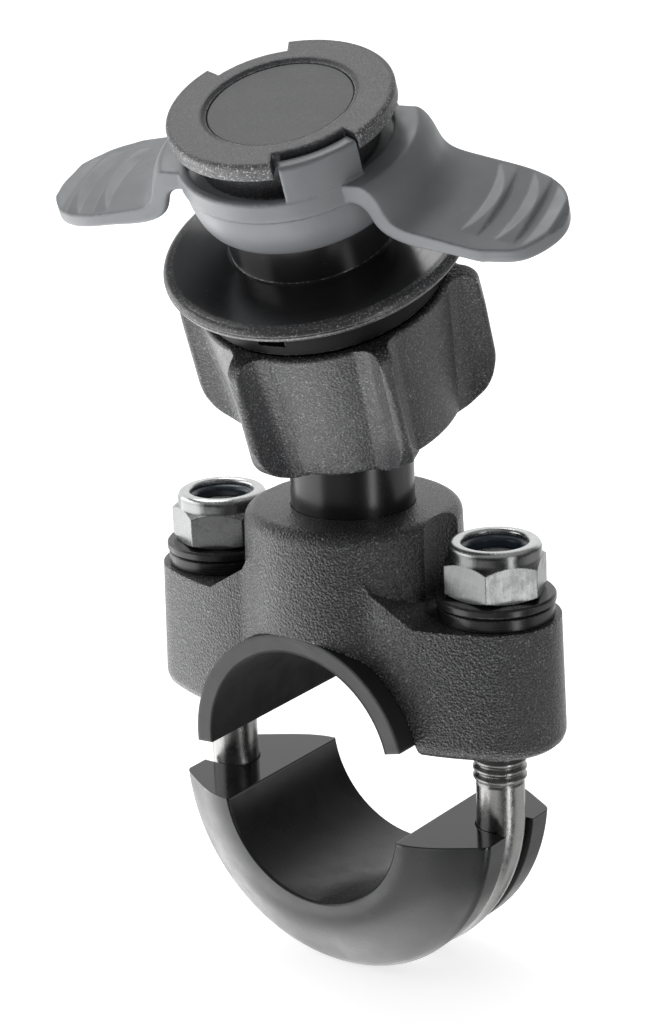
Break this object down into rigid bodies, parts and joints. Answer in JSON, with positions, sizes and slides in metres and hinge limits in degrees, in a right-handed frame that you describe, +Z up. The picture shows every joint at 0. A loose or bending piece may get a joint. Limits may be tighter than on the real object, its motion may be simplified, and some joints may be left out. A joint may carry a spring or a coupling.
{
  "type": "bike phone mount",
  "caption": "Handlebar clamp with a U-bolt and saddle, carrying a ball-jointed twist-lock head with a knurled knob and a two-winged release lever.",
  "frame": {"origin": "centre of the bar bore in the upper liner, halfway along it", "axes": "+X across the two clamp bolts, +Y along the bar, +Z up from the bar to the head; the head leans towards -Y"},
  "size_m": [0.0573, 0.039, 0.1041],
  "materials": {
    "clamp_coat": "fine textured black powder coat",
    "saddle_coat": "smooth glossy dark coat",
    "liner_plastic": "satin dark grey",
    "black_anodised": "glossy black anodised, turned",
    "ball_steel": "polished",
    "screw_steel": "black oxide",
    "knob_plastic": "fine textured dark grey, moulded",
    "lever_plastic": "satin mid grey, moulded",
    "head_plastic": "fine textured black, moulded",
    "zinc_steel": "bright zinc plate",
    "rod_steel": "bright stainless, rolled thread",
    "nylon_insert": "dark blue-grey nylon",
    "washer_black": "black oxide",
    "seat_polymer": "natural acetal",
    "spring_steel": "drawn wire"
  },
  "bodies": {
    "base": {"upper_clamp": "clamp_coat", "upper_liner": "liner_plastic", "post": "black_anodised", "ball": "ball_steel", "post_screw": "screw_steel", "seat_washer_left": "washer_black", "seat_washer_right": "washer_black", "washer_left": "washer_black", "washer_right": "washer_black"},
    "nut_right_body": {"nut_right": "zinc_steel", "nut_insert_right": "nylon_insert"},
    "nut_left_body": {"nut_left": "zinc_steel", "nut_insert_left": "nylon_insert"},
    "u_bolt_body": {"u_bolt": "rod_steel", "lower_saddle": "saddle_coat"},
    "swivel_body": {"ball_washer": "zinc_steel"},
    "tilt_body": {"seat_lower": "seat_polymer"},
    "head_body": {"socket": "black_anodised", "seat_upper": "seat_polymer", "flange_neck": "black_anodised", "head": "head_plastic", "head_screw": "screw_steel", "cap_disc": "head_plastic", "lever_spring": "spring_steel"},
    "thrust_body": {"thrust_ring": "zinc_steel"},
    "knob_body": {"knob": "knob_plastic"},
    "lever_body": {"lever_ring": "lever_plastic"}
  },
  "joints": [
    {"name": "nut_right_turn", "type": "hinge", "parent": "base", "child": "nut_right_body", "pos_m": [0.0184, 0, 0.0189], "axis": [0, 0, -1], "range_deg": [0, 2268]},
    {"name": "nut_left_turn", "type": "hinge", "parent": "base", "child": "nut_left_body", "pos_m": [-0.0184, 0, 0.0189], "axis": [0, 0, -1], "range_deg": [0, 2268]},
    {"name": "u_bolt_slide", "type": "slide", "parent": "base", "child": "u_bolt_body", "axis": [0, 0, 1], "range_m": [0, 0.0063]},
    {"name": "ball_swivel", "type": "hinge", "parent": "base", "child": "swivel_body", "pos_m": [0, 0, 0.04], "axis": [0, 0, 1], "continuous": true},
    {"name": "ball_tilt", "type": "hinge", "parent": "swivel_body", "child": "tilt_body", "pos_m": [0, 0, 0.04], "axis": [0.9816, 0.1908, 0], "range_deg": [-22.7, 6]},
    {"name": "head_turn", "type": "hinge", "parent": "tilt_body", "child": "head_body", "pos_m": [0, 0, 0.04], "axis": [0.0736, -0.3788, 0.9225], "continuous": true},
    {"name": "thrust_slide", "type": "slide", "parent": "head_body", "child": "thrust_body", "axis": [0.0736, -0.3788, 0.9225], "range_m": [-0.001, 0]},
    {"name": "knob_turn", "type": "hinge", "parent": "thrust_body", "child": "knob_body", "pos_m": [0, 0, 0.04], "axis": [0.0736, -0.3788, 0.9225], "range_deg": [-360, 0]},
    {"name": "lever_press", "type": "slide", "parent": "head_body", "child": "lever_body", "axis": [0.0736, -0.3788, 0.9225], "range_m": [-0.0033, 0], "stiffness_N_per_m": 250, "springref_m": 0.002, "deforming": ["lever_spring"]}
  ],
  "couplings": [
    {"joint": "nut_right_turn", "follows": "u_bolt_slide", "rad_per_m": 6283.2},
    {"joint": "nut_left_turn", "follows": "u_bolt_slide", "rad_per_m": 6283.2},
    {"joint": "knob_turn", "follows": "thrust_slide", "rad_per_m": 6283.2}
  ]
}
